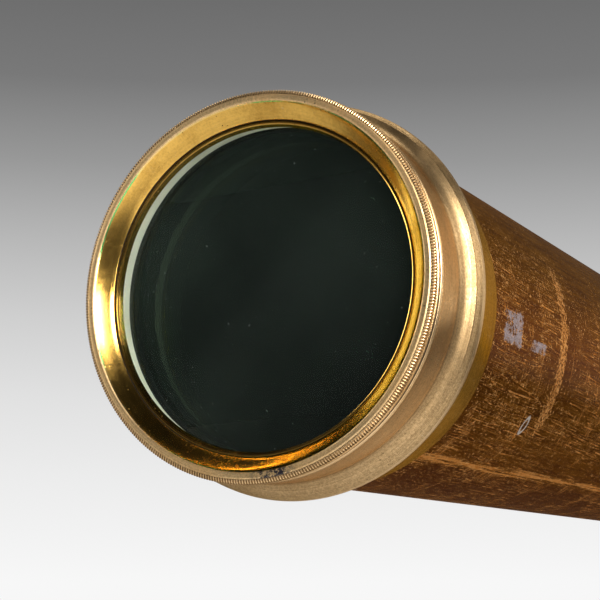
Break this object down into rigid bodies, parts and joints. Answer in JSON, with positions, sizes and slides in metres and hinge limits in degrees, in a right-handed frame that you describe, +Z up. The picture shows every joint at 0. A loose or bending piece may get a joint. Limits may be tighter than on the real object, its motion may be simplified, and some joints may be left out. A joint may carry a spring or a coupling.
{
  "type": "brass telescope",
  "caption": "Brass refracting telescope with a milled objective cell, bronzed body tube, rack and pinion draw tube, sliding erecting tube and shuttered eyepiece.",
  "frame": {"origin": "centre of the flat underside of the mounting shoe, at the telescope's point of balance", "axes": "+X along the optical axis from the objective to the eyepiece, +Z up from the shoe to the tube, +Y across it towards focus_knob_left"},
  "size_m": [0.9544, 0.0978, 0.1132],
  "materials": {
    "lacquered_brass": "turned and gold lacquered, satin",
    "polished_brass": "bright polished",
    "bronzed_tube": "dark bronzed lacquer, worn to brass in scratches",
    "blackened_brass": "matt optical black",
    "steel": "blued, satin",
    "glass": "polished"
  },
  "bodies": {
    "body": {"objective_cell": "polished_brass", "lens_retaining_ring": "polished_brass", "crown_lens": "glass", "lens_spacer_ring": "blackened_brass", "flint_lens": "glass", "objective_collar": "lacquered_brass", "main_tube": "bronzed_tube", "saddle_plate": "lacquered_brass", "mounting_shoe": "lacquered_brass", "tail_collar": "lacquered_brass", "tail_cone": "lacquered_brass", "focuser_jacket": "lacquered_brass", "front_bearing": "blackened_brass", "rear_bearing": "blackened_brass", "jacket_end_ring": "lacquered_brass", "pinion_housing": "lacquered_brass", "pinion_cap": "lacquered_brass", "saddle_screw_1": "lacquered_brass", "cap_screw_1": "lacquered_brass", "saddle_screw_2": "lacquered_brass", "cap_screw_2": "lacquered_brass", "saddle_screw_3": "lacquered_brass", "cap_screw_3": "lacquered_brass", "saddle_screw_4": "lacquered_brass", "cap_screw_4": "lacquered_brass", "shoe_screw_1": "steel", "shoe_screw_2": "steel", "stop_ring_1": "blackened_brass", "stop_ring_2": "blackened_brass", "stop_ring_3": "blackened_brass"},
    "pinion": {"pinion_shaft": "steel", "focus_knob_left": "lacquered_brass", "focus_knob_right": "lacquered_brass", "knob_screw_left": "steel", "knob_screw_right": "steel"},
    "draw": {"draw_tube": "polished_brass", "focus_rack": "lacquered_brass", "draw_ring": "lacquered_brass"},
    "erector": {"erector_tube": "polished_brass", "erector_cell_front": "blackened_brass", "erector_lens_front": "glass", "erector_stop": "blackened_brass", "erector_cell_rear": "blackened_brass", "erector_lens_rear": "glass", "erector_ring": "lacquered_brass"},
    "eyepiece": {"eyepiece_tube": "lacquered_brass", "field_lens": "glass", "field_stop": "blackened_brass", "eye_lens_ring": "blackened_brass", "eye_lens": "glass", "eye_cup": "lacquered_brass", "shutter_screw": "steel"},
    "shutter": {"shutter_plate": "lacquered_brass", "shutter_knob": "lacquered_brass"}
  },
  "joints": [
    {"name": "focus_slide", "type": "slide", "parent": "body", "child": "draw", "axis": [1, 0, 0], "range_m": [-0.02, 0.04]},
    {"name": "pinion_spin", "type": "hinge", "parent": "body", "child": "pinion", "pos_m": [0.29, 0, 0.02885], "axis": [0, 1, 0], "range_deg": [-210, 420]},
    {"name": "erector_slide", "type": "slide", "parent": "draw", "child": "erector", "axis": [1, 0, 0], "range_m": [-0.02, 0.06]},
    {"name": "eyepiece_slide", "type": "slide", "parent": "erector", "child": "eyepiece", "axis": [1, 0, 0], "range_m": [0, 0.012]},
    {"name": "shutter_swivel", "type": "hinge", "parent": "eyepiece", "child": "shutter", "pos_m": [0.449, 0.013, 0.06405], "axis": [1, 0, 0], "range_deg": [-100, 100]}
  ],
  "couplings": [
    {"joint": "pinion_spin", "follows": "focus_slide", "rad_per_m": 178.57}
  ]
}
